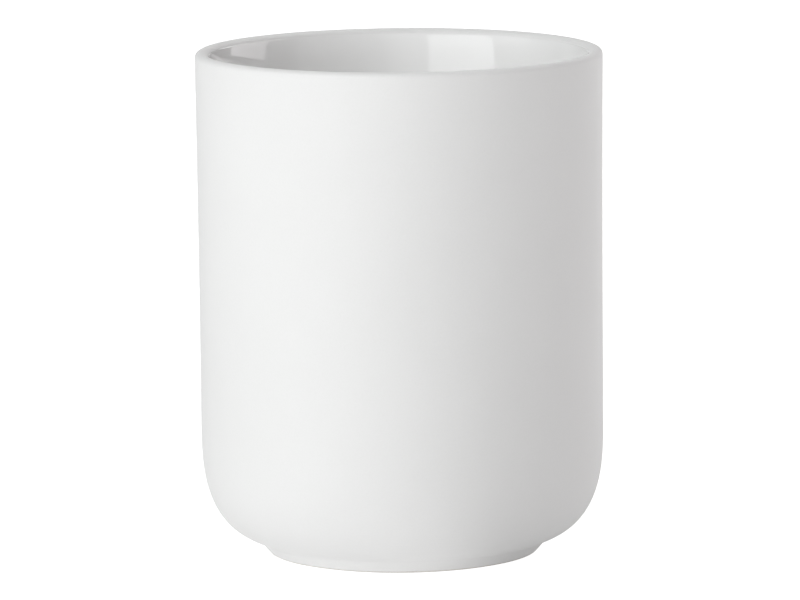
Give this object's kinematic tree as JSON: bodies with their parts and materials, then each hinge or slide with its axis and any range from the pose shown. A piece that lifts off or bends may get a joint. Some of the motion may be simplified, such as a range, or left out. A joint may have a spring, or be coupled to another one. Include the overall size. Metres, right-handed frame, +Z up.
{
  "type": "pen holder cup",
  "caption": "Straight-sided round desk cup that stands pens upright: softly squared shoulder, low foot, rounded open rim, matt outside and glossy inside.",
  "frame": {"origin": "on the desk, at the centre of the foot", "axes": "+Z up along the cup's axis, towards the open rim; the cup is round, so +X and +Y are any two level directions"},
  "size_m": [0.08, 0.08, 0.0995],
  "materials": {
    "bare_stoneware": "matte, unglazed",
    "matte_white_coat": "matte",
    "gloss_white_glaze": "gloss",
    "satin_white_glaze": "satin",
    "grey_silicone": "matte"
  },
  "bodies": {
    "root": {"stoneware_body": "bare_stoneware", "matte_coat": "matte_white_coat", "inner_glaze": "gloss_white_glaze", "underside_glaze": "satin_white_glaze", "foot_pad": "grey_silicone"}
  },
  "joints": []
}
